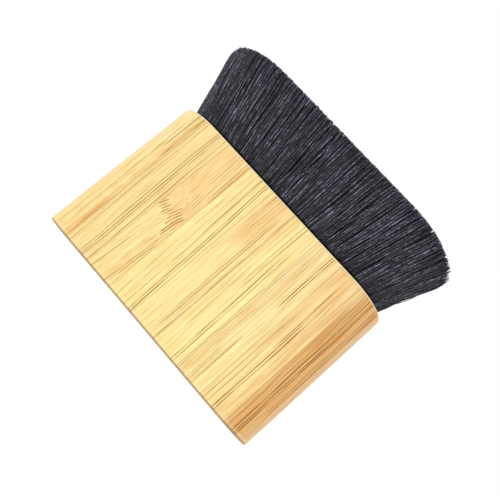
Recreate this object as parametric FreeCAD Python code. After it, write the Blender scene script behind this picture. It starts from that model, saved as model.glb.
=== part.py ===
"""Neck duster brush: a laminated bamboo block handle with a wide, flared head of soft bristles.

Millimetres, +Z up. The origin is the centre of the flat base. +X runs along the width and -Y is the front.
"""

import FreeCAD
import Part

import os
from math import cos, pi, radians, sin, tan

Vector = FreeCAD.Vector

# Handle block: straight long sides, half-round ends
BLOCK_WIDTH = 94.0
BLOCK_DEPTH = 30.0
BLOCK_HEIGHT = 56.8
TOP_ROUND = 1.2
BASE_ROUND = 0.5

# Lamination of the block: plies glued front to back, each made of strips glued side by side
PLY_NAMES = ("front", "midfront", "midback", "back")
FIRST_GLUE_JOINTS = (-35.0, -40.15, -37.6, -38.1)
STRIP_WIDTH = 10.3
MIN_END_STRIP = 4.0

# Pocket milled into the top of the block for the bristle root
RIM_WALL = 3.2
POCKET_DEPTH = 20.0
MOUTH_ROUND = 0.4

# Bedding of the bristle root, from the pocket floor up
GLUE_THICKNESS = 0.6
GLUE_HEIGHT = 11.0
BAND_WALL = 0.8
BAND_HEIGHT = 12.0
BAND_LIP_ROUND = 0.3
PLUG_HEIGHT = 8.0

# Bristle bundle
BRISTLE_GAP = 0.1
BRISTLE_REACH = 25.8
TIP_HALF_WIDTH = 53.4
TIP_HALF_DEPTH = 25.9
TIP_ROUND = 3.9
SHOULDER_STEPS = 5

# Line about which the bristle head bends forward and back
PIVOT_ABOVE_RIM = 5.0
PIVOT_GAP = 0.15
RELIEF_ANGLE = 15.5

HALF_WIDTH = BLOCK_WIDTH / 2
HALF_DEPTH = BLOCK_DEPTH / 2
PLY_THICKNESS = BLOCK_DEPTH / len(PLY_NAMES)
POCKET_HALF_WIDTH = HALF_WIDTH - RIM_WALL
POCKET_HALF_DEPTH = HALF_DEPTH - RIM_WALL
POCKET_FLOOR = BLOCK_HEIGHT - POCKET_DEPTH
BAND_BASE = POCKET_FLOOR + GLUE_THICKNESS
BAND_TOP = BAND_BASE + BAND_HEIGHT
PLUG_TOP = BAND_BASE + PLUG_HEIGHT
ROOT_HALF_WIDTH = POCKET_HALF_WIDTH - BRISTLE_GAP
ROOT_HALF_DEPTH = POCKET_HALF_DEPTH - BRISTLE_GAP
TIP_HEIGHT = BLOCK_HEIGHT + BRISTLE_REACH
PIVOT_HEIGHT = BLOCK_HEIGHT + PIVOT_ABOVE_RIM
TOLERANCE = 0.01


def stadium_wire(half_width, half_depth, z):
    """Closed level outline with straight long sides and half-round ends."""
    straight = half_width - half_depth
    front_left = Vector(-straight, -half_depth, z)
    front_right = Vector(straight, -half_depth, z)
    back_right = Vector(straight, half_depth, z)
    back_left = Vector(-straight, half_depth, z)
    right_end = Part.Arc(front_right, Vector(half_width, 0, z), back_right)
    left_end = Part.Arc(back_left, Vector(-half_width, 0, z), front_left)
    return Part.Wire(
        [
            Part.makeLine(front_left, front_right),
            right_end.toShape(),
            Part.makeLine(back_right, back_left),
            left_end.toShape(),
        ]
    )


def stadium_prism(half_width, half_depth, low, high):
    """Upright solid of stadium plan between two heights."""
    outline = Part.Face(stadium_wire(half_width, half_depth, low))
    return outline.extrude(Vector(0, 0, high - low))


def level_edges(shape, z):
    """Edges of the shape that lie flat at height z."""
    return [
        edge
        for edge in shape.Edges
        if abs(edge.BoundBox.ZMin - z) < TOLERANCE and abs(edge.BoundBox.ZMax - z) < TOLERANCE
    ]


def only_solid(shape):
    """The single solid of a boolean result."""
    if len(shape.Solids) != 1:
        raise ValueError(f"expected one solid, got {len(shape.Solids)}")
    return shape.Solids[0]


def handle_block():
    """The whole block before it is divided into strips, with its pocket and rounded edges."""
    block = stadium_prism(HALF_WIDTH, HALF_DEPTH, 0, BLOCK_HEIGHT)
    block = block.makeFillet(TOP_ROUND, level_edges(block, BLOCK_HEIGHT))
    block = block.makeFillet(BASE_ROUND, level_edges(block, 0))
    pocket = stadium_prism(POCKET_HALF_WIDTH, POCKET_HALF_DEPTH, POCKET_FLOOR, BLOCK_HEIGHT)
    block = block.cut(pocket)
    mouth = [
        edge
        for edge in level_edges(block, BLOCK_HEIGHT)
        if edge.BoundBox.YMax < POCKET_HALF_DEPTH + TOLERANCE
        and edge.BoundBox.YMin > -POCKET_HALF_DEPTH - TOLERANCE
    ]
    return block.makeFillet(MOUTH_ROUND, mouth)


def glue_joints(first):
    """Positions along X where the strips of one ply meet, leaving no narrow strip at either end."""
    limit = HALF_WIDTH - MIN_END_STRIP
    joints = []
    x = first
    while x < limit:
        joints.append(x)
        x += STRIP_WIDTH
    return joints


def ply_strips(block, ply):
    """The bamboo strips of one ply, cut out of the block, keyed by node name."""
    front = -HALF_DEPTH + ply * PLY_THICKNESS
    ends = [-HALF_WIDTH, *glue_joints(FIRST_GLUE_JOINTS[ply]), HALF_WIDTH]
    strips = {}
    for number, (left, right) in enumerate(zip(ends, ends[1:]), start=1):
        cell = Part.makeBox(right - left, PLY_THICKNESS, BLOCK_HEIGHT, Vector(left, front, 0))
        strips[f"strip_{PLY_NAMES[ply]}_{number}"] = only_solid(block.common(cell))
    return strips


def socket_glue():
    """Adhesive cup that beds the bristle root on the pocket floor and lower wall."""
    top = POCKET_FLOOR + GLUE_HEIGHT
    cup = stadium_prism(POCKET_HALF_WIDTH, POCKET_HALF_DEPTH, POCKET_FLOOR, top)
    inner_width = POCKET_HALF_WIDTH - GLUE_THICKNESS
    inner_depth = POCKET_HALF_DEPTH - GLUE_THICKNESS
    return only_solid(cup.cut(stadium_prism(inner_width, inner_depth, BAND_BASE, top)))


def root_band():
    """Thin ring that keeps the bristle root to its long rounded plan."""
    outer_width = POCKET_HALF_WIDTH - GLUE_THICKNESS
    outer_depth = POCKET_HALF_DEPTH - GLUE_THICKNESS
    ring = stadium_prism(outer_width, outer_depth, BAND_BASE, BAND_TOP)
    bore = stadium_prism(outer_width - BAND_WALL, outer_depth - BAND_WALL, BAND_BASE, BAND_TOP)
    ring = ring.cut(bore)
    return only_solid(ring.makeFillet(BAND_LIP_ROUND, level_edges(ring, BAND_TOP)))


def root_plug():
    """Set resin that locks the buried ends of the bristles together inside the band."""
    inset = GLUE_THICKNESS + BAND_WALL
    return stadium_prism(POCKET_HALF_WIDTH - inset, POCKET_HALF_DEPTH - inset, BAND_BASE, PLUG_TOP)


def bundle_outline(z, inset=0.0):
    """Outline of the bristle bundle at height z, where it widens in a straight line from rim to tips."""
    share = (z - BLOCK_HEIGHT) / BRISTLE_REACH
    half_width = ROOT_HALF_WIDTH + share * (TIP_HALF_WIDTH - ROOT_HALF_WIDTH)
    half_depth = ROOT_HALF_DEPTH + share * (TIP_HALF_DEPTH - ROOT_HALF_DEPTH)
    return stadium_wire(half_width - inset, half_depth - inset, z)


def flared_bundle():
    """The part of the bristle bundle above the rim, with flat-cut tips and a rounded shoulder round them."""
    outlines = [bundle_outline(BLOCK_HEIGHT)]
    for step in range(SHOULDER_STEPS + 1):
        turn = step / SHOULDER_STEPS * pi / 2
        z = TIP_HEIGHT - TIP_ROUND * (1 - sin(turn))
        outlines.append(bundle_outline(z, inset=TIP_ROUND * (1 - cos(turn))))
    return Part.makeLoft(outlines, True, True)


def ridge_prism(apex_height, slope, closing_height):
    """Prism along X between a bent ceiling or floor, with its fold on the pivot line, and a level face."""
    reach = 2 * TIP_HALF_DEPTH
    shoulder = apex_height + slope * reach
    section = Part.makePolygon(
        [
            Vector(-2 * HALF_WIDTH, -reach, shoulder),
            Vector(-2 * HALF_WIDTH, 0, apex_height),
            Vector(-2 * HALF_WIDTH, reach, shoulder),
            Vector(-2 * HALF_WIDTH, reach, closing_height),
            Vector(-2 * HALF_WIDTH, -reach, closing_height),
            Vector(-2 * HALF_WIDTH, -reach, shoulder),
        ]
    )
    return Part.Face(section).extrude(Vector(4 * HALF_WIDTH, 0, 0))


def bristle_root():
    """The fixed lower part of the bristles, in the pocket and just above the rim, with a roof-shaped top."""
    inset = GLUE_THICKNESS + BAND_WALL + BRISTLE_GAP
    in_band = stadium_prism(
        POCKET_HALF_WIDTH - inset,
        POCKET_HALF_DEPTH - inset,
        PLUG_TOP,
        BAND_TOP + BRISTLE_GAP,
    )
    in_pocket = stadium_prism(
        ROOT_HALF_WIDTH,
        ROOT_HALF_DEPTH,
        BAND_TOP + BRISTLE_GAP,
        BLOCK_HEIGHT,
    )
    roof = ridge_prism(PIVOT_HEIGHT - PIVOT_GAP, -tan(radians(RELIEF_ANGLE)), 0)
    above_rim = flared_bundle().common(roof)
    return only_solid(in_band.fuse([in_pocket, above_rim]).removeSplitter())


def bristle_head():
    """The free part of the bristles, with a hollow-roof underside that clears the fixed root as it bends."""
    hull = ridge_prism(PIVOT_HEIGHT + PIVOT_GAP, tan(radians(RELIEF_ANGLE)), 2 * TIP_HEIGHT)
    return only_solid(flared_bundle().common(hull))


def brush_nodes():
    """Every separate piece of the brush, keyed by node name."""
    nodes = {}
    block = handle_block()
    for ply in range(len(PLY_NAMES)):
        nodes.update(ply_strips(block, ply))
    nodes["socket_glue"] = socket_glue()
    nodes["root_band"] = root_band()
    nodes["root_plug"] = root_plug()
    nodes["bristle_root"] = bristle_root()
    nodes["bristle_head"] = bristle_head()
    return nodes


def main():
    os.makedirs("parts", exist_ok=True)
    for name, shape in brush_nodes().items():
        shape.exportStep(f"parts/{name}.step")


main()
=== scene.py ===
"""Looks of the neck duster brush: a laminated bamboo block with a wide, flared head of soft dark bristles.

Metres, in the frame of the CAD model. The materials, the bristles and all names in _MM are in millimetres.
"""

import math
import random
from functools import reduce

import bpy
import numpy as np
from mathutils import Matrix, Vector
from mathutils.kdtree import KDTree


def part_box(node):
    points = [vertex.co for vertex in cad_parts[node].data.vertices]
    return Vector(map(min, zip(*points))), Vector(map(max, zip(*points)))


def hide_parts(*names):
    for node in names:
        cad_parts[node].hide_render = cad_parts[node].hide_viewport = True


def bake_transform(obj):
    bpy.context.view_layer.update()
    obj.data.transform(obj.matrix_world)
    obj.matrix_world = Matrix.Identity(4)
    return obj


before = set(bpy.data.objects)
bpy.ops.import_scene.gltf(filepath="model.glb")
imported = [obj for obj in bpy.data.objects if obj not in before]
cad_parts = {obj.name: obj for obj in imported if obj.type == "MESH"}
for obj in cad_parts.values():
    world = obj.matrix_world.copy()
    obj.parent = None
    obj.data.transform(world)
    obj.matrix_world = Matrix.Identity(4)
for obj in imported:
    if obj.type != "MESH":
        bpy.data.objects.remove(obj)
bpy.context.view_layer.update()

MM = 0.001
SEED = 20
PLY_NAMES = ("front", "midfront", "midback", "back")

# Heights, corners and the reach of the block's flat faces to each side, taken from the frame
RIM_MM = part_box("strip_front_5")[1].z / MM
MIDDLE_MM = RIM_MM / 2
TIP_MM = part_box("bristle_head")[1].z / MM
POCKET_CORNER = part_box("socket_glue")[1]
HEAD_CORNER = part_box("bristle_head")[1]
STRAIGHT_HALF_MM = (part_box("strip_midfront_10")[1].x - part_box("strip_back_5")[1].y) / MM


# ---------------------------------------------------------------- small helpers

# How fast red, green and blue follow a change of shade, which turns dark shades warm and bright ones cool
SHADE_RATES = (0.75, 1.0, 1.6)


def colour(red, green, blue):
    """Linear RGBA from screen values of 0 to 255."""
    linear = []
    for value in (red, green, blue):
        share = value / 255
        linear.append(share / 12.92 if share <= 0.04045 else ((share + 0.055) / 1.055) ** 2.4)
    return (*linear, 1.0)


class Graph:
    """A material's node graph, built with plain calls."""

    def __init__(self, name):
        self.material = bpy.data.materials.new(name)
        self.material.use_nodes = True
        self.tree = self.material.node_tree
        self.tree.nodes.clear()

    def feed(self, socket, value):
        if isinstance(value, bpy.types.NodeSocket):
            self.tree.links.new(value, socket)
        else:
            socket.default_value = value

    def add(self, kind, inputs=None, **settings):
        node = self.tree.nodes.new(kind)
        for key, value in settings.items():
            setattr(node, key, value)
        for key, value in (inputs or {}).items():
            self.feed(node.inputs[key], value)
        return node

    def math(self, operation, a, b=0.0):
        return self.add("ShaderNodeMath", {0: a, 1: b}, operation=operation).outputs[0]

    def plus(self, *values):
        return reduce(lambda a, b: self.math("ADD", a, b), values)

    def times(self, *values):
        return reduce(lambda a, b: self.math("MULTIPLY", a, b), values)

    def minus(self, a, b):
        return self.math("SUBTRACT", a, b)

    def size(self, a):
        return self.math("ABSOLUTE", a)

    def most(self, *values):
        return reduce(lambda a, b: self.math("MAXIMUM", a, b), values)

    def smooth(self, value, low, high):
        """0 below low and 1 above high, or the other way round if low is the greater."""
        inputs = {"Value": value, "From Min": low, "From Max": high}
        return self.add("ShaderNodeMapRange", inputs, interpolation_type="SMOOTHSTEP").outputs["Result"]

    def mix(self, factor, a, b, blend="MIX"):
        inputs = {0: factor, 6: a, 7: b}
        return self.add("ShaderNodeMix", inputs, data_type="RGBA", blend_type=blend).outputs[2]

    def grey(self, value):
        return self.add("ShaderNodeCombineColor", {0: value, 1: value, 2: value}).outputs[0]

    def warm_shade(self, value):
        """A grey near 1 that turns warm as it darkens and cool as it brightens."""
        change = self.minus(value, 1.0)
        parts = {}
        for number, rate in enumerate(SHADE_RATES):
            parts[number] = self.plus(self.times(change, rate), 1.0)
        return self.add("ShaderNodeCombineColor", parts).outputs[0]

    def shaded(self, tone, shade, factor=1.0):
        """A tone multiplied by a screen colour, as strongly as the factor says."""
        return self.mix(factor, tone, self.mix(1.0, tone, colour(*shade), "MULTIPLY"))

    def ramp(self, value, tones):
        """Colour read off a row of stops, each a position and a screen colour."""
        node = self.add("ShaderNodeValToRGB", {"Fac": value})
        stops = node.color_ramp.elements
        stops.remove(stops[1])
        (first, shade), *others = tones
        stops[0].position = first
        stops[0].color = colour(*shade)
        for position, shade in others:
            stops.new(position).color = colour(*shade)
        return node.outputs["Color"]

    def vector(self, x=0.0, y=0.0, z=0.0):
        return self.add("ShaderNodeCombineXYZ", {"X": x, "Y": y, "Z": z}).outputs[0]

    def place_mm(self):
        """Where a point of the object is, in millimetres: as a vector, and as x, y and z."""
        coordinates = self.add("ShaderNodeTexCoord").outputs["Object"]
        scaled = self.add("ShaderNodeVectorMath", {0: coordinates, "Scale": 1 / MM}, operation="SCALE")
        point = scaled.outputs["Vector"]
        return point, *self.add("ShaderNodeSeparateXYZ", {0: point}).outputs

    def stretch(self, vector, scales, offset=(0.0, 0.0, 0.0)):
        inputs = {"Vector": vector, "Scale": scales, "Location": offset}
        return self.add("ShaderNodeMapping", inputs).outputs["Vector"]

    def grain(self, vector, waves, offset=(0.0, 0.0, 0.0)):
        """Place for a noise with so many waves a millimetre across the grain and along it."""
        across, along = waves
        return self.stretch(vector, (across, across, along), offset)

    def noise(self, vector, detail=2.0, roughness=0.5):
        inputs = {"Vector": vector, "Scale": 1.0, "Detail": detail, "Roughness": roughness}
        return self.add("ShaderNodeTexNoise", inputs).outputs["Fac"]

    def chances(self, value):
        """Three random numbers of 0 to 1 that are fixed for each value."""
        node = self.add("ShaderNodeTexWhiteNoise", {"W": value}, noise_dimensions="1D")
        return self.add("ShaderNodeSeparateColor", {0: node.outputs["Color"]}).outputs

    def bump(self, height, distance, strength):
        inputs = {"Height": height, "Distance": distance, "Strength": strength}
        return self.add("ShaderNodeBump", inputs).outputs["Normal"]

    def surface(self, **inputs):
        named = {key.replace("_", " "): value for key, value in inputs.items()}
        shader = self.add("ShaderNodeBsdfPrincipled", named)
        output = self.add("ShaderNodeOutputMaterial")
        self.tree.links.new(shader.outputs["BSDF"], output.inputs["Surface"])
        return self.material


def dress(obj, material):
    """Gives an object one material on all its faces."""
    obj.data.materials.clear()
    obj.data.materials.append(material)


# ---------------------------------------------------------------- bamboo

# Tone of each front strip near its top and near its base
FRONT_TONES = {
    1: ((241, 216, 149), (249, 214, 144)),
    2: ((246, 215, 149), (246, 218, 151)),
    3: ((248, 211, 144), (252, 223, 155)),
    4: ((249, 223, 153), (250, 227, 156)),
    5: ((247, 214, 147), (252, 228, 160)),
    6: ((251, 226, 155), (251, 231, 160)),
    7: ((245, 216, 153), (250, 227, 160)),
    8: ((242, 209, 148), (251, 222, 154)),
    9: ((222, 172, 107), (225, 175, 106)),
}
# Tones of the two strips that close the ends beside the front ply; the pale tone of the left one is a painted
# highlight on its curved end
END_TONES = {
    "strip_midfront_1": ((255, 244, 200), (255, 241, 192)),
    "strip_midfront_10": ((226, 187, 136), (228, 188, 136)),
}
# Tones that the other strips take in turn
SPARE_TONES = (
    ((247, 217, 151), (249, 221, 153)),
    ((244, 210, 145), (247, 216, 147)),
    ((250, 225, 156), (250, 228, 157)),
    ((240, 202, 138), (243, 207, 140)),
    ((246, 215, 148), (244, 211, 145)),
    ((232, 188, 126), (236, 193, 129)),
    ((249, 222, 154), (250, 226, 157)),
)
# Sideways drift of the grain of each front strip, for each millimetre up
FRONT_LEAN = {1: 0.02, 2: 0.018, 3: 0.02, 4: 0.03, 5: 0.005, 6: 0.018, 7: 0.0, 8: 0.0, 9: 0.0}
# How strongly the streaks of each front strip show
FRONT_FIGURE = {1: 1.4, 2: 1.4, 3: 1.5, 4: 1.0, 5: 1.2, 6: 1.0, 7: 1.2, 8: 1.4, 9: 1.5}
# Groups of darker fibre lines on the front strips: x of the first, spacing, count, lowest z, highest z, depth
FRONT_LINES = {
    1: ((-41.2, 1.8, 2, 0, 48, 0.55), (-37.6, 2.2, 2, 36, 60, 1.0), (-38.7, 1.7, 2, -9, 12, 0.45)),
    2: ((-33.4, 1.0, 1, -9, 60, 0.6), (-29.2, 0.95, 3, -9, 60, 0.75), (-25.5, 1.0, 1, -9, 60, 0.8)),
    3: (
        (-18.6, 0.95, 3, 32, 60, 0.5),
        (-15.4, 0.9, 2, 35, 60, 0.75),
        (-15.5, 0.9, 2, -9, 24, 0.8),
        (-21.3, 1.0, 1, -9, 14, 0.7),
    ),
    4: ((-12.1, 2.2, 3, -9, 60, 0.5), (-8.2, 1.0, 1, 28, 60, 0.9), (-6.1, 0.95, 2, -9, 60, 0.9)),
    5: ((-2.0, 1.9, 3, 44, 60, 0.8), (3.1, 0.8, 2, 0, 46, 0.65), (5.8, 1.0, 1, -9, 60, 1.0)),
    6: ((10.9, 1.0, 2, 30, 60, 0.75), (13.4, 0.9, 2, -9, 46, 0.85), (9.0, 6.8, 2, -9, 50, 0.45)),
    7: ((17.0, 1.5, 4, 0, 50, 0.4), (23.2, 0.75, 2, 34, 60, 1.1), (20.7, 1.0, 3, -9, 12, 0.7)),
    8: ((28.3, 1.35, 2, -9, 30, 0.8), (31.1, 1.7, 2, 22, 46, 0.8), (31.9, 0.9, 2, -9, 36, 1.1)),
    9: ((38.5, 1.0, 1, -9, 60, 0.5), (40.4, 0.85, 3, -9, 60, 0.9), (43.9, 0.7, 2, 6, 60, 0.5)),
}
# Groups of fibre lines on each other flat strip, and the lowest and highest z that a group may have
LOOSE_GROUPS = 3
LINE_REACHES = ((-9, 60), (-9, 60), (-9, 30), (25, 60), (5, 45))
# Warm stains on the front strips: x of the middle, half width, lowest z, highest z, depth
FRONT_STAINS = {
    1: ((-35.9, 0.8, -9, 70, 0.8),),
    3: ((-16.5, 1.6, -9, 20, 0.35),),
    5: ((0.0, 3.4, 38, 70, 0.40), (3.8, 1.2, 0, 40, 0.25)),
    6: ((7.4, 0.8, 10, 60, 0.3),),
    7: ((18.4, 1.6, -9, 30, 0.40), (21.0, 3.0, 34, 56, 0.25)),
    8: ((28.4, 1.4, 20, 70, 0.40), (35.6, 2.2, -9, 70, 0.42), (31.5, 1.6, 40, 70, 0.35)),
    9: ((38.6, 1.0, -9, 70, 0.45), (41.6, 1.1, -9, 46, 0.35), (44.6, 0.8, 8, 70, 0.45)),
}
# Shades that multiply the tone of the strip
STAIN_SHADE = (232, 196, 150)
LINE_SHADE = (172, 138, 78)
SAWN_SHADE = (236, 222, 200)
# Colours that cover the tone of the strip
PALE_COLOUR = (255, 250, 205)
SAWN_DOT_COLOUR = (150, 104, 62)
SEAM_COLOUR = (150, 110, 70)
# Colour of the painted highlight along the top edge of the sides
TOP_HIGHLIGHT_COLOUR = (255, 250, 222)
# Colours of a slightly paler band just above the base and of a darker line along the very base
LOW_BAND_COLOUR = (252, 236, 190)
BASE_COLOUR = (160, 128, 86)

# Waves a millimetre across the grain and along it
WANDER_WAVES = (0.10, 0.03)
CLOUD_WAVES = (0.16, 0.045)
FINE_WAVES = (2.3, 0.08)
MEDIUM_WAVES = (0.95, 0.014)
SPECK_WAVES = (3.4, 1.3)
PATCH_WAVES = (0.21, 0.03)
# How far the tone swings with the fine and medium streaks, for each unit of figure, and with the specks
FINE_SWING = 0.52
MEDIUM_SWING = 0.34
SPECK_SWING = 0.24
# How far the grain wanders sideways
WANDER_MM = 1.2
# Fine marks along the grain: seed, half width, gap, length, patch noise from no mark to full mark, and depth
PALE_WISPS = (19.0, 0.15, 0.42, 30.0, 0.25, 0.55, 0.6)
DARK_MARKS = (
    (0.0, 0.20, 1.5, 70.0, 0.40, 0.60, 0.6),
    (7.0, 0.14, 0.55, 45.0, 0.28, 0.55, 0.52),
    (13.0, 0.12, 0.34, 30.0, 0.25, 0.60, 0.30),
)
SAWN_DOTS = (3.0, 0.26, 0.85, 200.0, 0.20, 0.30, 0.7)

# Half widths of a fibre line and of a dash of the leaf scar, and the share of them that is fully dark
LINE_HALF_MM = 0.155
DASH_HALF_MM = 0.20
CORE_SHARE = 0.35
# Chance differences between lines: sideways, as a share of the spacing, and in half width, as a share of it
LINE_DRIFT = 0.35
LINE_SPREAD = 0.7
# How far the ends of neighbouring lines differ, and how long lines and stains take to fade out there
LINE_END_MM = 9.0
LINE_FADE_MM = 5.0
STAIN_FADE_MM = 4.0
# Share of its depth that a line keeps where it is faint
FAINT_SHARE = 0.45

# The scar where a leaf node crossed the culm: a row of slanting dashes on one front strip
KNUCKLE_STRIP = 3
KNUCKLE_X_MM = -23.9
KNUCKLE_Z_MM = 28.9
KNUCKLE_SPACING_MM = 0.92
KNUCKLE_DASHES = 10
# The dashes lean to the right above this height over the scar and stand nearly upright below it
KNUCKLE_BEND_MM = -1.5
KNUCKLE_LEAN = 0.30
KNUCKLE_FOOT_LEAN = 0.06
# The grain swells sideways round a place above the scar, and slants below it
SWELLING_MM = -0.8
SWELLING_REACH_MM = 6.0
SWELLING_ABOVE_MM = 2.0
SLANT_BELOW = -0.07


def fibre_line(graph, place, spacing, first, half_width):
    """Darkness across irregular thin lines spaced along a number line.

    It comes with the number of the nearest line and that line's three chances.
    """
    number = graph.math("ROUND", place)
    chance = graph.chances(graph.plus(number, first))
    aside = graph.times(graph.minus(chance[0], 0.5), LINE_DRIFT * spacing)
    away = graph.size(graph.minus(graph.times(graph.minus(place, number), spacing), aside))
    edge = graph.plus(half_width, graph.times(chance[1], LINE_SPREAD * half_width))
    line = graph.smooth(away, edge, graph.times(edge, CORE_SHARE))
    return line, number, chance


def counted(graph, number, count):
    """1 for the whole numbers from 0 up to count, count left out, and 0 for all others."""
    not_before = graph.math("GREATER_THAN", number, -0.5)
    not_after = graph.math("LESS_THAN", number, count - 0.5)
    return graph.times(not_before, not_after)


def line_group(graph, x, z, first, spacing, count, low, high, depth):
    """How dark a group of thin upright fibre lines is at x, z: 0 between them and up to depth on them."""
    place = graph.times(graph.minus(x, first), 1 / spacing)
    line, number, chance = fibre_line(graph, place, spacing, first, LINE_HALF_MM)
    reach = graph.plus(z, graph.times(graph.minus(chance[2], 0.5), LINE_END_MM))
    fade_in = graph.smooth(reach, low, low + LINE_FADE_MM)
    fade_out = graph.smooth(reach, high + LINE_FADE_MM, high)
    key = graph.vector(graph.times(number, 3.1), first, graph.times(z, 0.09))
    strong = graph.smooth(graph.noise(key), 0.35, 0.55)
    strength = graph.plus(FAINT_SHARE, graph.times(strong, 1 - FAINT_SHARE))
    return graph.times(line, counted(graph, number, count), fade_in, fade_out, strength, depth)


def stain_depth(graph, x, z, centre, half_width, low, high, depth):
    """How strongly a streaky stain shows at x, z."""
    streaks = graph.noise(graph.vector(graph.times(x, 1.3), centre, graph.times(z, 0.05)), 2.0)
    clouds = graph.noise(graph.vector(graph.times(x, 0.3), centre, graph.times(z, 0.12)), 1.0)
    waver = graph.times(graph.minus(clouds, 0.5), 2.0 * half_width)
    away = graph.plus(graph.size(graph.minus(x, centre)), waver)
    across = graph.smooth(away, 1.2 * half_width, 0.5 * half_width)
    fade_in = graph.smooth(z, low - STAIN_FADE_MM, low + STAIN_FADE_MM)
    fade_out = graph.smooth(z, high + STAIN_FADE_MM, high - STAIN_FADE_MM)
    return graph.times(across, fade_in, fade_out, graph.smooth(streaks, 0.30, 0.60), depth)


def fine_marks(graph, point, seed, own_seed, half_width, gap, length, low, high, depth):
    """Thin marks, long along the grain: lines on the sides of a strip and dots on its sawn ends."""
    seed = seed + own_seed
    scales = (1 / gap, 1 / gap, 1 / length)
    stretched = graph.stretch(point, scales, (seed, 2.7 * seed, 1.3 * seed))
    inputs = {"Vector": stretched, "Scale": 1.0, "Randomness": 1.0}
    cells = graph.add("ShaderNodeTexVoronoi", inputs, voronoi_dimensions="3D", feature="F1")
    edge = half_width / gap
    line = graph.smooth(cells.outputs["Distance"], edge, CORE_SHARE * edge)
    patches = graph.noise(graph.grain(point, PATCH_WAVES, (3.1 * seed, seed, seed)), 1.0)
    return graph.times(line, graph.smooth(patches, low, high), depth)


def knuckle(graph, x, z):
    """Darkness of the slanting dashes of the leaf scar, which grow longer to the right."""
    up = graph.minus(z, KNUCKLE_Z_MM)
    leaning = graph.times(graph.most(up, KNUCKLE_BEND_MM), KNUCKLE_LEAN)
    foot = graph.math("MINIMUM", graph.minus(up, KNUCKLE_BEND_MM), 0.0)
    upright = graph.times(foot, KNUCKLE_FOOT_LEAN)
    across = graph.minus(graph.minus(x, KNUCKLE_X_MM), graph.plus(leaning, upright))
    place = graph.times(across, 1 / KNUCKLE_SPACING_MM)
    line, number, chance = fibre_line(graph, place, KNUCKLE_SPACING_MM, KNUCKLE_X_MM, DASH_HALF_MM)

    # each dash sits lower than the one before, except that the row steps up at late and down again at last
    late = graph.smooth(number, 3.4, 5.2)
    last = graph.smooth(number, 6.4, 8.2)
    middle = graph.plus(graph.times(number, -0.3), graph.times(late, 1.9), graph.times(last, -2.4))
    middle = graph.plus(middle, graph.minus(chance[2], 0.5))
    half = graph.plus(1.0, graph.times(chance[1], 0.7), graph.times(late, 1.3), graph.times(last, 1.3))
    away = graph.size(graph.minus(up, middle))
    length = graph.smooth(away, graph.plus(half, 0.9), graph.minus(half, 0.9))
    depth = graph.plus(0.75, graph.times(chance[0], 0.4))
    return graph.times(line, length, counted(graph, number, KNUCKLE_DASHES), depth)


def bend_round_knuckle(graph, z):
    """Sideways shift of the grain where it swells round the leaf scar, and its slant below the scar."""
    away = graph.times(graph.minus(z, KNUCKLE_Z_MM + SWELLING_ABOVE_MM), 1 / SWELLING_REACH_MM)
    bell = graph.math("POWER", math.e, graph.times(away, away, -1.0))
    below = graph.math("MINIMUM", graph.minus(z, KNUCKLE_Z_MM), 0.0)
    return graph.plus(graph.times(bell, SWELLING_MM), graph.times(below, SLANT_BELOW))


def levelness(graph):
    """1 where a face looks straight up or down, 0 on the sides."""
    normal = graph.add("ShaderNodeNewGeometry").outputs["True Normal"]
    facing = graph.add("ShaderNodeSeparateXYZ", {0: normal})
    return graph.smooth(graph.size(facing.outputs["Z"]), 0.75, 0.98)


def grain_shift(graph, point, z, seed, lean, scarred):
    """How far the grain stands aside at each place."""
    noise = graph.noise(graph.grain(point, WANDER_WAVES, (seed, 0, 0)), 1.0)
    wander = graph.times(graph.minus(noise, 0.5), WANDER_MM)
    shift = graph.plus(wander, graph.times(graph.minus(z, MIDDLE_MM), lean))
    if scarred:
        shift = graph.plus(shift, bend_round_knuckle(graph, z))
    return shift


def broad_tone(graph, point, z, tones, seed, scarred):
    """Tone that changes from base to top, with soft clouds, and more suddenly at a leaf scar."""
    cloudiness, low, high = (0.2, 0.42, 0.50) if scarred else (1.0, 0.25, 0.95)
    top_tone, base_tone = tones
    clouds = graph.minus(graph.noise(graph.grain(point, CLOUD_WAVES, (0, seed, 0))), 0.5)
    rise = graph.plus(graph.times(z, 1 / RIM_MM), graph.times(clouds, cloudiness))
    return graph.mix(graph.smooth(rise, low, high), colour(*base_tone), colour(*top_tone))


def streaked(graph, tone, point, fine, medium, seed, figure):
    """The tone with its streaks and specks, which leave its mean as it is."""
    specks = graph.noise(graph.grain(point, SPECK_WAVES, (0, 0, seed)), 1.0)
    streaks = graph.plus(
        graph.times(fine, FINE_SWING * figure),
        graph.times(medium, MEDIUM_SWING * figure),
        graph.times(specks, SPECK_SWING),
    )
    mean = (SPECK_SWING + (FINE_SWING + MEDIUM_SWING) * figure) / 2
    return graph.mix(1.0, tone, graph.warm_shade(graph.plus(streaks, 1 - mean)), "MULTIPLY")


def sawn_end_tone(graph, warped, tone, level, seed):
    """Tone of a sawn end, browner and with the fibre bundles as dots, on the level faces."""
    dots = fine_marks(graph, warped, seed, *SAWN_DOTS)
    sawn = graph.mix(dots, graph.shaded(tone, SAWN_SHADE), colour(*SAWN_DOT_COLOUR))
    return graph.mix(level, tone, sawn)


def edge_tone(graph, z, seam, tone, level):
    """Tone at the glue joints, a painted highlight along the top edge, and a paler band and a darker line
    along the base of a strip.
    """
    tone = graph.mix(graph.times(seam, 0.45), tone, colour(*SEAM_COLOUR))
    # painted highlight along the top edge of the sides, kept off the level faces
    top = graph.smooth(z, RIM_MM - 0.8, RIM_MM - 0.35)
    beside = graph.minus(0.9, graph.times(level, 0.9))
    tone = graph.mix(graph.times(top, beside), tone, colour(*TOP_HIGHLIGHT_COLOUR))
    # a slightly paler band just above the base, and a darker line along the very base
    low_band = graph.times(graph.smooth(z, 0.6, 0.9), graph.smooth(z, 1.7, 1.2))
    tone = graph.mix(graph.times(low_band, 0.25), tone, colour(*LOW_BAND_COLOUR))
    base = graph.smooth(z, 0.75, 0.35)
    return graph.mix(graph.times(base, 0.75), tone, colour(*BASE_COLOUR))


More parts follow.
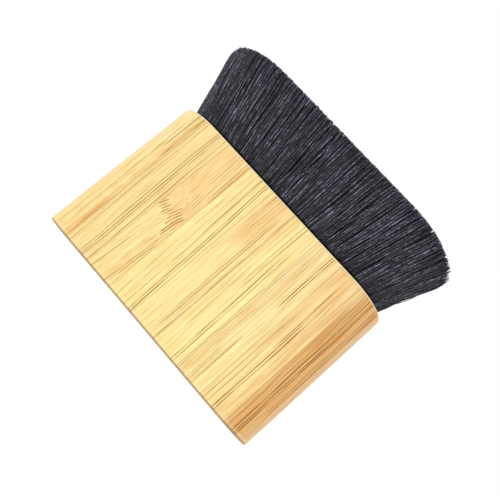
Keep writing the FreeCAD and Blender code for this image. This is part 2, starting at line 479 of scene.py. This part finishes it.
def bamboo(name, tones, seed, lines=(), lean=0.0, figure=1.2, stains=(), scarred=False):
    """Laminated bamboo with its grain along Z, for one strip."""
    graph = Graph(name)
    low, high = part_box(name)
    point, x, y, z = graph.place_mm()
    shift = grain_shift(graph, point, z, seed, lean, scarred)
    warped_x = graph.plus(x, shift)
    warped = graph.vector(warped_x, graph.plus(y, shift), z)

    fine = graph.noise(graph.grain(warped, FINE_WAVES, (seed, seed, 0)), 3.0, 0.65)
    medium = graph.noise(graph.grain(warped, MEDIUM_WAVES, (0, seed, seed)), 2.0, 0.55)
    tone = broad_tone(graph, point, z, tones, seed, scarred)
    tone = streaked(graph, tone, point, fine, medium, seed, figure)
    for stain in stains:
        tone = graph.shaded(tone, STAIN_SHADE, stain_depth(graph, warped_x, z, *stain))

    pale = fine_marks(graph, warped, seed, *PALE_WISPS)
    tone = graph.mix(pale, tone, colour(*PALE_COLOUR))
    marks = [fine_marks(graph, warped, seed, *mark) for mark in DARK_MARKS]
    groups = [line_group(graph, warped_x, z, *group) for group in lines]
    dark = graph.most(*marks, *groups)
    if scarred:
        dark = graph.most(dark, knuckle(graph, x, z))
    tone = graph.shaded(tone, LINE_SHADE, dark)

    level = levelness(graph)
    gap = graph.math("MINIMUM", graph.minus(x, low.x / MM), graph.minus(high.x / MM, x))
    seam = graph.smooth(gap, 0.2, 0.03)
    tone = sawn_end_tone(graph, warped, tone, level, seed)
    tone = edge_tone(graph, z, seam, tone, level)

    rough = graph.plus(graph.times(fine, 0.16), graph.times(dark, 0.10), 0.38)
    relief = graph.minus(graph.times(fine, 0.5), graph.plus(graph.times(dark, 0.8), graph.times(seam, 1.2)))
    bumped = graph.bump(relief, 0.03 * MM, 0.6)
    return graph.surface(Base_Color=tone, Roughness=rough, Normal=bumped, IOR=1.46, Specular_IOR_Level=0.3)


def front_bamboo(name, number, seed):
    """Bamboo of one strip of the front ply, with its own marks."""
    return bamboo(
        name,
        FRONT_TONES[number],
        seed,
        lines=FRONT_LINES[number],
        lean=FRONT_LEAN[number],
        figure=FRONT_FIGURE[number],
        stains=FRONT_STAINS.get(number, ()),
        scarred=number == KNUCKLE_STRIP,
    )


def loose_lines(rng, low, high):
    """Groups of fibre lines at chance places on a strip, or none if it reaches round an end of the block."""
    left, right = low.x / MM, high.x / MM
    if max(-left, right) > STRAIGHT_HALF_MM:
        return ()
    groups = []
    for _ in range(LOOSE_GROUPS):
        first = rng.uniform(left + 1, right - 3)
        reach = rng.choice(LINE_REACHES)
        spacing = rng.uniform(0.8, 1.6)
        count = rng.randint(1, 3)
        groups.append((first, spacing, count, *reach, rng.uniform(0.5, 1.0)))
    return groups


def dress_strips():
    """One bamboo material for each strip of the block."""
    rng = random.Random(SEED)
    spare = 0
    for name, node in sorted(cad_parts.items()):
        if not name.startswith("strip_"):
            continue
        ply, number = name.split("_")[1], int(name.split("_")[2])
        seed = 5.0 + 3.7 * number + 41.0 * PLY_NAMES.index(ply)
        if ply == "front":
            material = front_bamboo(name, number, seed)
        elif name in END_TONES:
            # the pale tone of the left end strip is a painted highlight
            material = bamboo(name, END_TONES[name], seed)
        else:
            tones = SPARE_TONES[spare % len(SPARE_TONES)]
            lines = loose_lines(rng, *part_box(name))
            material = bamboo(name, tones, seed, lines, rng.uniform(-0.01, 0.02))
            spare += 1
        dress(node, material)


# ---------------------------------------------------------------- hidden bedding of the bristles

# Material, dark tone, light tone, roughness, grain in millimetres and clear coat of each hidden piece
BEDDING = {
    "socket_glue": ("adhesive", (196, 178, 134), (224, 208, 168), 0.5, 1.2, 0.2),
    "root_band": ("band_plastic", (22, 22, 24), (38, 38, 40), 0.55, 0.4, 0.0),
    "root_plug": ("set_resin", (92, 66, 34), (140, 106, 62), 0.2, 0.9, 0.6),
}


def cloudy(name, dark_tone, light_tone, roughness, grain_mm, coat):
    """Plain moulded or set material with a fine mottle."""
    graph = Graph(name)
    coordinates = graph.add("ShaderNodeTexCoord").outputs["Object"]
    mottle = graph.noise(graph.stretch(coordinates, (1 / (grain_mm * MM),) * 3), 4.0, 0.6)
    tone = graph.mix(graph.smooth(mottle, 0.35, 0.7), colour(*dark_tone), colour(*light_tone))
    rough = graph.plus(graph.times(mottle, 0.2), roughness - 0.1)
    bumped = graph.bump(mottle, 0.05 * MM, 0.5)
    return graph.surface(Base_Color=tone, Roughness=rough, Normal=bumped, Coat_Weight=coat)


def dress_bedding():
    """One material for each hidden piece."""
    for name, look in BEDDING.items():
        dress(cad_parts[name], cloudy(*look))


# ---------------------------------------------------------------- bristles

STRANDS = 34000
PIECES = 10
SIDES = 3
# Share along the strand, and radius there, of each ring of points
RINGS = (0.0, 0.11, 0.22, 0.33, 0.44, 0.55, 0.66, 0.78, 0.90, 1.0)
STRAND_RADIUS_MM = (0.11, 0.115, 0.12, 0.125, 0.125, 0.125, 0.125, 0.12, 0.11, 0.055)
ROOT_DEPTH_MM = 3.0
ROOT_GAP_MM = 0.1
# The cut is flat, with an edge rounded to a squarish curve that is shallower at the two ends
TIP_ROUND_MM = 3.9
TIP_ROUND_POWER = 2.8
END_ROUND_SHARE = 0.55
# Share of the strands that stand in the outer layer, and its thickness as a share of the half depth
OUTER_SHARE = 0.42
OUTER_LAYER = 0.10
# Spacing of the small locks that the strands gather in, and the depth of their outer row and of the next
LOCK_MM = 0.9
OUTER_LOCKS_MM = (0.8, 3.0)
# Share of the half width where the frayed ends of the head begin, and over which they grow
FRAY_START = 0.78
FRAY_SPAN = 0.18
# Uneven lengths: of single strands, of locks, and of locks and the points of locks at the frayed ends
STRAND_UNEVEN_MM = 0.08
LOCK_UNEVEN_MM = 0.02
LOCK_FRAY_MM = 0.30
POINT_FRAY_MM = 0.7
MAX_SHORTER_MM = 1.6
# Pull of the strands towards the middle of their lock: halfway up, and at the frayed tips
GATHER = 0.22
TIP_GATHER = 0.25
# Chance lean and waves of the locks, and waves of the strands, with the turns that the waves make
LOCK_LEAN_MM = 0.06
LOCK_WAVE_MM = 0.20
LOCK_TURNS = (0.4, 1.6)
STRAND_WAVE_MM = 0.10
STRAND_TURNS = (1.0, 2.4)
# Share of the length over which the waves grow
WAVE_START = 0.3
# The table of tones: each column is one lightness of one streak pattern
LEVELS = 16
PATTERNS = 16
COLUMNS = LEVELS * PATTERNS
# Margins that keep a face inside its column, as a share of the column, and inside the table
COLUMN_EDGE = 0.1
TABLE_EDGE = 0.002
# Stops of the bristle tone, from deep shade to the brightest glint, and the brown of a few strands
BRISTLE_TONES = ((0.15, (8, 8, 10)), (0.45, (30, 31, 39)), (0.70, (85, 86, 104)), (0.95, (164, 164, 184)))
BROWN_STRAND = (74, 62, 60)
# Place on those stops of a strand in deep shade, and the rise from lightness, dashes, specks and chance
BASE_LEVEL = 0.158
LIGHT_RISE = 0.22
DASH_RISE = 0.29
SPECK_RISE = 0.29
CHANCE_RISE = 0.06
# Dashes and specks in the length of a strand
DASHES = 7.5
SPECKS = 30.0
# The strands are dark in the pocket and clear of its shadow soon above the rim
POCKET_SHADE = 0.12
SHADE_ENDS = (0.148, 0.168)


def tip_half_size(widest, root):
    """Half size of the tips without the rounded shoulder, from the widest half size of the head."""
    reach = TIP_MM - RIM_MM
    slope = 0.0
    # what the rounding takes away depends on the slope, so the slope is found in a few rounds
    for _ in range(6):
        turn = math.atan(slope)
        lost = TIP_ROUND_MM * (1 - math.cos(turn))
        slope = (widest - root + lost) / (reach - TIP_ROUND_MM * (1 - math.sin(turn)))
    return root + slope * reach


ROOT_HALF_WIDTH = POCKET_CORNER.x / MM - ROOT_GAP_MM
ROOT_HALF_DEPTH = POCKET_CORNER.y / MM - ROOT_GAP_MM
TIP_HALF_WIDTH = tip_half_size(HEAD_CORNER.x / MM, ROOT_HALF_WIDTH)
TIP_HALF_DEPTH = tip_half_size(HEAD_CORNER.y / MM, ROOT_HALF_DEPTH)


def edge_depth(x, half_width, half_depth):
    """Half depth at x of an outline with straight long sides and half-round ends."""
    past = np.maximum(np.abs(x) - (half_width - half_depth), 0)
    return np.sqrt(np.maximum(half_depth**2 - past**2, 1e-9))


def inset_from_edge(x, y, half_width, half_depth):
    """Distance inside the same outline."""
    past = np.maximum(np.abs(x) - (half_width - half_depth), 0)
    return half_depth - np.hypot(past, y)


def strand_places(rng):
    """Places of the strands across the bundle, as shares of the half width and of the half depth there."""
    x = rng.uniform(-1, 1, 3 * STRANDS)
    share = edge_depth(x * TIP_HALF_WIDTH, TIP_HALF_WIDTH, TIP_HALF_DEPTH) / TIP_HALF_DEPTH
    across = x[rng.uniform(0, 1, len(x)) < share][:STRANDS]
    through = rng.uniform(-1, 1, STRANDS)
    outer = rng.uniform(0, 1, STRANDS) < OUTER_SHARE
    through[outer] = np.sign(through[outer]) * (1 - OUTER_LAYER * rng.uniform(0, 1, outer.sum()) ** 1.5)
    return across, through


def crimp(rng, count, size, turns):
    """Gentle waves, nothing at the root, as sideways offsets of count x rings x 2."""
    along = np.array(RINGS)[None, :]
    amount = rng.gamma(3.0, size / 3.0, count)[:, None]
    phase = rng.uniform(0, 2 * np.pi, count)[:, None]
    rate = 2 * np.pi * rng.uniform(*turns, count)[:, None]
    turn = rng.uniform(0, 2 * np.pi, count)[:, None]
    sway = amount * np.minimum(along / WAVE_START, 1) * np.sin(phase + rate * along)
    return np.stack([sway * np.cos(turn), sway * np.sin(turn)], -1)


def outline_places(distance, half_width, half_depth):
    """Points at the given distances round an outline with straight long sides and half-round ends."""
    straight = half_width - half_depth
    half_round = math.pi * half_depth
    half = 2 * straight + half_round
    along = distance % half
    angle = np.maximum(along - 2 * straight, 0) / half_depth
    x = np.where(angle > 0, straight + half_depth * np.sin(angle), along - straight)
    y = -half_depth * np.cos(angle)
    side = np.where(distance < half, 1, -1)
    return np.stack([x * side, y * side], 1)


def lock_centres(rng):
    """Centres of the small locks that the bristles gather in: an even outer row and a loose filling."""
    outer, first_inner = OUTER_LOCKS_MM
    half_width, half_depth = TIP_HALF_WIDTH - outer, TIP_HALF_DEPTH - outer
    around = 4 * (half_width - half_depth) + 2 * math.pi * half_depth
    distance = np.arange(0, around - LOCK_MM / 2, LOCK_MM)
    distance = distance + rng.uniform(0, 0.45, len(distance)) * LOCK_MM
    row = outline_places(distance, half_width, half_depth)
    x = np.arange(-TIP_HALF_WIDTH, TIP_HALF_WIDTH, LOCK_MM)
    y = np.arange(-TIP_HALF_DEPTH, TIP_HALF_DEPTH, LOCK_MM)
    filling = np.stack(np.meshgrid(x, y), -1).reshape(-1, 2)
    filling += rng.uniform(-0.4, 0.4, filling.shape) * LOCK_MM
    inside = inset_from_edge(*filling.T, TIP_HALF_WIDTH, TIP_HALF_DEPTH) > first_inner
    return np.concatenate([row, filling[inside]])


def nearest(centres, places):
    """Number of the centre nearest to each place."""
    tree = KDTree(len(centres))
    for number, (x, y) in enumerate(centres):
        tree.insert((x, y, 0), number)
    tree.balance()
    return np.array([tree.find((x, y, 0))[1] for x, y in places])


def lock_sheen(places, to_centre):
    """Painted sheen across each lock: 1 in the middle of each lock, where it is lit, and 0 at its sides,
    which are in painted shade, as seen from outside the bundle.
    """
    past = np.maximum(np.abs(places[:, 0]) - (TIP_HALF_WIDTH - TIP_HALF_DEPTH), 0) * np.sign(places[:, 0])
    outward = np.stack([past, places[:, 1]], 1) / (np.hypot(past, places[:, 1])[:, None] + 1e-9)
    aside = np.abs(to_centre[:, 0] * outward[:, 1] - to_centre[:, 1] * outward[:, 0])
    return np.clip(1.3 - aside / (0.28 * LOCK_MM), 0, 1)


def level_cut(across, through, half_width, half_depth):
    """Points of the strands on a level cut through the bundle."""
    x = across * half_width
    return np.stack([x, through * edge_depth(x, half_width, half_depth)], 1)


def shortened(rng, tip, to_centre, lock, locks, frayed):
    """How far below the level of the cut each strand stops: at the rounded edge, and by uneven lengths."""
    inset = np.clip(inset_from_edge(*tip.T, TIP_HALF_WIDTH, TIP_HALF_DEPTH), 0, TIP_ROUND_MM)
    outward = 1 - inset / TIP_ROUND_MM
    rounded = TIP_ROUND_MM * (1 - (1 - outward**TIP_ROUND_POWER) ** (1 / TIP_ROUND_POWER))
    rounded *= 1 - (1 - END_ROUND_SHARE) * frayed
    beside = np.clip(np.hypot(*to_centre.T) / (0.5 * LOCK_MM), 0, 1.5)
    pointed = POINT_FRAY_MM * frayed * beside**1.5
    uneven = np.abs(rng.normal(0, 1, locks))[lock] * (LOCK_UNEVEN_MM + LOCK_FRAY_MM * frayed)
    uneven += pointed + np.abs(rng.normal(0, STRAND_UNEVEN_MM, len(tip)))
    return rounded + np.clip(uneven, 0, MAX_SHORTER_MM)


def tone_columns(rng, tip, to_centre, lock, locks):
    """Column of each strand in the table of tones: lightest in the middle of its lock, where a painted sheen
    lights it, one pattern a lock.
    """
    lightness = 0.08 + 0.84 * lock_sheen(tip, to_centre) + rng.normal(0, 0.10, len(tip))
    level = np.floor(np.clip(lightness, 0, 0.999) * LEVELS)
    pattern = rng.integers(0, PATTERNS, locks)[lock]
    return (level * PATTERNS + pattern).astype(int)


def make_strands(rng):
    """Ring centres of all strands in millimetres, as strands x rings x 3, and their columns of tones."""
    across, through = strand_places(rng)
    root = level_cut(across, through, ROOT_HALF_WIDTH, ROOT_HALF_DEPTH)
    tip = level_cut(across, through, TIP_HALF_WIDTH, TIP_HALF_DEPTH)
    centres = lock_centres(rng)
    locks = len(centres)
    lock = nearest(centres, tip)
    to_centre = centres[lock] - tip
    outwards = np.abs(centres[:, 0]) / TIP_HALF_WIDTH
    frayed = np.clip((outwards - FRAY_START) / FRAY_SPAN, 0, 1)[lock]

    reach = TIP_MM - RIM_MM
    start = -ROOT_DEPTH_MM / reach
    end = 1 - shortened(rng, tip, to_centre, lock, locks, frayed) / reach
    along = np.array(RINGS)[None, :]
    share = start + (end[:, None] - start) * along
    spread = np.clip(share, 0, None)[..., None]
    gather = GATHER * np.sin(np.pi * along) + TIP_GATHER * frayed[:, None] * along**2
    places = root[:, None] + (tip - root)[:, None] * spread + to_centre[:, None] * gather[..., None]
    places += rng.normal(0, LOCK_LEAN_MM, (locks, 1, 2))[lock] * along[..., None] ** 1.5
    places += crimp(rng, locks, LOCK_WAVE_MM, LOCK_TURNS)[lock]
    places += crimp(rng, STRANDS, STRAND_WAVE_MM, STRAND_TURNS)
    lines = np.concatenate([places, (RIM_MM + share * reach)[..., None]], -1)
    return lines, tone_columns(rng, tip, to_centre, lock, locks)


def strand_vertices(lines):
    """Points of the strands: rings of three round each centre line, in metres."""
    count = len(lines)
    turns = 2 * np.pi * np.arange(SIDES) / SIDES
    angle = np.arange(count)[:, None] * 2.4 + turns[None, :]
    ring_shape = np.stack([np.cos(angle), np.sin(angle), np.zeros_like(angle)], -1)
    radius = np.array(STRAND_RADIUS_MM)[None, :, None, None]
    points = lines[:, :, None, :] + ring_shape[:, None, :, :] * radius
    return points.reshape(-1, 3) * MM


def strand_faces(count):
    """Sides and closing caps of the strands, as corner indices."""
    rings = len(RINGS)
    first = (np.arange(count) * rings * SIDES)[:, None, None]
    ring = (np.arange(rings - 1) * SIDES)[None, :, None]
    side = np.arange(SIDES)[None, None, :]
    after = (side + 1) % SIDES
    low = first + ring
    high = low + SIDES
    quads = np.stack([low + side, low + after, high + after, high + side], -1).reshape(-1, 4)
    base = first[:, 0] + np.array([[2, 1, 0]])
    tip = first[:, 0] + (rings - 1) * SIDES + np.array([[0, 1, 2]])
    return quads, np.concatenate([base, tip])


def table_uvs(column, along, quads, caps):
    """Where each face corner reads the table of tones: its own column, and up with its place along."""
    sides = np.tile(np.repeat(np.arange(SIDES), 4), quads // SIDES)
    sides += np.tile([0, 1, 1, 0], quads)
    around = np.concatenate([sides, np.tile([0, 1, 2], caps)]) / SIDES
    u = (column + COLUMN_EDGE + (1 - 2 * COLUMN_EDGE) * around) / COLUMNS
    v = TABLE_EDGE + (1 - 2 * TABLE_EDGE) * along
    return np.stack([u, v], 1)


def strand_mesh(name, lines, columns):
    """One mesh of closed, tapered, three-sided strands, with each point's place in the table of tones."""
    vertices = strand_vertices(lines)
    quads, caps = strand_faces(len(lines))
    corners = np.concatenate([quads.ravel(), caps.ravel()])
    starts = np.concatenate([np.arange(len(quads)) * 4, len(quads) * 4 + np.arange(len(caps)) * 3])

    mesh = bpy.data.meshes.new(name)
    mesh.vertices.add(len(vertices))
    mesh.vertices.foreach_set("co", vertices.astype(np.float32).ravel())
    mesh.loops.add(len(corners))
    mesh.loops.foreach_set("vertex_index", corners.astype(np.int32))
    mesh.polygons.add(len(starts))
    mesh.polygons.foreach_set("loop_start", starts.astype(np.int32))
    mesh.polygons.foreach_set("use_smooth", np.ones(len(starts), bool))

    column = np.repeat(columns, len(RINGS) * SIDES)
    along = np.tile(np.repeat(np.array(RINGS), SIDES), len(lines))
    for key, values in (("column", column + 0.5), ("along", along)):
        mesh.attributes.new(key, "FLOAT", "POINT").data.foreach_set("value", values.astype(np.float32))
    layer = mesh.uv_layers.new(name="OFBake")
    table_places = table_uvs(column[corners], along[corners], len(quads), len(caps))
    layer.data.foreach_set("uv", table_places.astype(np.float32).ravel())
    mesh.update(calc_edges=True)
    mesh.validate()
    obj = bpy.data.objects.new(name, mesh)
    bpy.context.scene.collection.objects.link(obj)
    return obj


def bristle_material():
    """Near-black synthetic fibre whose tone differs by strand and in streaks along it, with a cool sheen that
    is partly real gloss and partly painted into its colour as glints, and with painted shade in the pocket.
    """
    graph = Graph("bristle_fibre")
    column = graph.add("ShaderNodeAttribute", attribute_name="column").outputs["Fac"]
    column = graph.math("FLOOR", column)
    along = graph.add("ShaderNodeAttribute", attribute_name="along").outputs["Fac"]
    own = graph.chances(column)
    pattern = graph.math("MODULO", column, PATTERNS)
    lightness = graph.times(graph.minus(column, pattern), 1 / COLUMNS)
    dashes = graph.noise(graph.vector(graph.times(pattern, 3.71), graph.times(along, DASHES)), 1.0)
    specks = graph.noise(graph.vector(graph.times(column, 5.37), graph.times(along, SPECKS), 9.0), 1.0)
    # the lock's painted sheen, the dashes and the specks lift a strand's tone towards the painted glints at
    # the top of the ramp
    rise = graph.plus(LIGHT_RISE, graph.times(graph.smooth(dashes, 0.34, 0.62), DASH_RISE))
    level = graph.plus(
        BASE_LEVEL,
        graph.times(lightness, rise),
        graph.times(graph.smooth(specks, 0.38, 0.62), SPECK_RISE),
        graph.times(own[0], CHANCE_RISE),
    )
    brown = graph.times(graph.smooth(own[1], 0.86, 0.92), 0.5)
    tone = graph.mix(brown, graph.ramp(level, BRISTLE_TONES), colour(*BROWN_STRAND))
    clear = graph.smooth(along, *SHADE_ENDS)
    shade = graph.plus(POCKET_SHADE, graph.times(clear, 1 - POCKET_SHADE))
    tone = graph.mix(1.0, tone, graph.grey(shade), "MULTIPLY")
    rough = graph.plus(0.36, graph.times(own[2], 0.2))
    return graph.surface(Base_Color=tone, Roughness=rough, Specular_IOR_Level=graph.times(shade, 0.4))


def add_bristles():
    """The bristles, in pieces of strands that reach from the pocket in the handle up into the head."""
    rng = np.random.default_rng(SEED)
    lines, columns = make_strands(rng)
    material = bristle_material()
    order = np.argsort(lines[:, 0, 0] + rng.normal(0, 1.0, STRANDS))
    for number, members in enumerate(np.array_split(order, PIECES), start=1):
        piece = strand_mesh(f"bristles_{number}", lines[members], columns[members])
        dress(piece, material)
        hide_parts("bristle_head", "bristle_root")
        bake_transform(piece)


# ---------------------------------------------------------------- stage, light and camera

CAMERA_AZIMUTH = 8.7
CAMERA_ELEVATION = -9.56
CAMERA_ROLL = 49.46
CAMERA_DISTANCE = 0.20665
CAMERA_TARGET = Vector((0.0025, 0.0, 0.04148))
CAMERA_LENS = 45.83

WHITE = (1, 1, 1, 1)
PALE_GREY = (0.8, 0.8, 0.8, 1)
# Brightness of the surroundings and glow of the floor, as lights and as the camera sees them
WORLD_STRENGTH = (0.52, 1.0)
FLOOR_GLOW = (0.40, 0.60)
FLOOR_Z = -0.0002
FLOOR_HALF_SIZE = 6.0
# Soft lights: azimuth, elevation and power in watts
LIGHTS = {
    "key": (-25, 40, 2.0),
    "fill": (45, 25, 1.3),
    "left": (-100, 20, 1.8),
    "right": (105, 20, 0.6),
    "back": (170, 35, 1.6),
}
LIGHT_DISTANCE = 0.9
LIGHT_SIZE = 0.5


def direction(azimuth, elevation):
    """Unit vector away from the brush, where azimuth 0 is straight in front of it."""
    a, e = math.radians(azimuth), math.radians(elevation)
    return Vector((math.sin(a) * math.cos(e), -math.cos(a) * math.cos(e), math.sin(e)))


def add_camera():
    """Camera low in front of the brush, rolled so that the brush leans to the right in the picture."""
    back = direction(CAMERA_AZIMUTH, CAMERA_ELEVATION)
    right = (-back).cross(Vector((0, 0, 1))).normalized()
    up = right.cross(-back)
    roll = math.radians(CAMERA_ROLL)
    side = right * math.cos(roll) + up * math.sin(roll)
    top = up * math.cos(roll) - right * math.sin(roll)
    camera = bpy.data.objects.new("camera", bpy.data.cameras.new("camera"))
    bpy.context.scene.collection.objects.link(camera)
    turned = Matrix((side, top, back)).transposed().to_4x4()
    camera.matrix_world = Matrix.Translation(CAMERA_TARGET + back * CAMERA_DISTANCE) @ turned
    camera.data.lens = CAMERA_LENS
    camera.data.clip_start = 0.01
    camera.data.clip_end = 20
    bpy.context.scene.camera = camera


def seen_strength(tree, as_light, as_seen):
    """Strength that differs between rays from the camera and all others."""
    ray = tree.nodes.new("ShaderNodeLightPath").outputs["Is Camera Ray"]
    strength = tree.nodes.new("ShaderNodeMapRange")
    strength.inputs["To Min"].default_value = as_light
    strength.inputs["To Max"].default_value = as_seen
    tree.links.new(ray, strength.inputs["Value"])
    return strength.outputs["Result"]


def add_floor():
    """Plain pale floor under the base."""
    mesh = bpy.data.meshes.new("floor")
    far = FLOOR_HALF_SIZE
    mesh.from_pydata([(-far, -far, 0), (far, -far, 0), (far, far, 0), (-far, far, 0)], [], [(0, 1, 2, 3)])
    floor = bpy.data.objects.new("floor", mesh)
    bpy.context.scene.collection.objects.link(floor)
    floor.location.z = FLOOR_Z
    graph = Graph("floor")
    glow = seen_strength(graph.tree, *FLOOR_GLOW)
    look = {"Base_Color": PALE_GREY, "Roughness": 0.9, "Emission_Color": WHITE, "Emission_Strength": glow}
    dress(floor, graph.surface(**look))


def add_area_light(name, azimuth, elevation, power):
    """Square soft light aimed at the middle of the brush."""
    away = direction(azimuth, elevation)
    light = bpy.data.objects.new(name, bpy.data.lights.new(name, "AREA"))
    bpy.context.scene.collection.objects.link(light)
    light.data.shape = "SQUARE"
    light.data.size = LIGHT_SIZE
    light.data.energy = power
    light.location = CAMERA_TARGET + away * LIGHT_DISTANCE
    light.rotation_mode = "QUATERNION"
    light.rotation_quaternion = (-away).to_track_quat("-Z", "Y")


def add_world():
    """White surroundings that light the brush about half as brightly as they look."""
    world = bpy.data.worlds.new("studio")
    bpy.context.scene.world = world
    world.use_nodes = True
    tree = world.node_tree
    background = tree.nodes["Background"]
    background.inputs["Color"].default_value = WHITE
    tree.links.new(seen_strength(tree, *WORLD_STRENGTH), background.inputs["Strength"])


def main():
    bpy.context.scene.view_settings.view_transform = "Standard"
    dress_strips()
    dress_bedding()
    add_bristles()
    add_floor()
    add_world()
    for name, light in LIGHTS.items():
        add_area_light(name, *light)
    add_camera()


main()
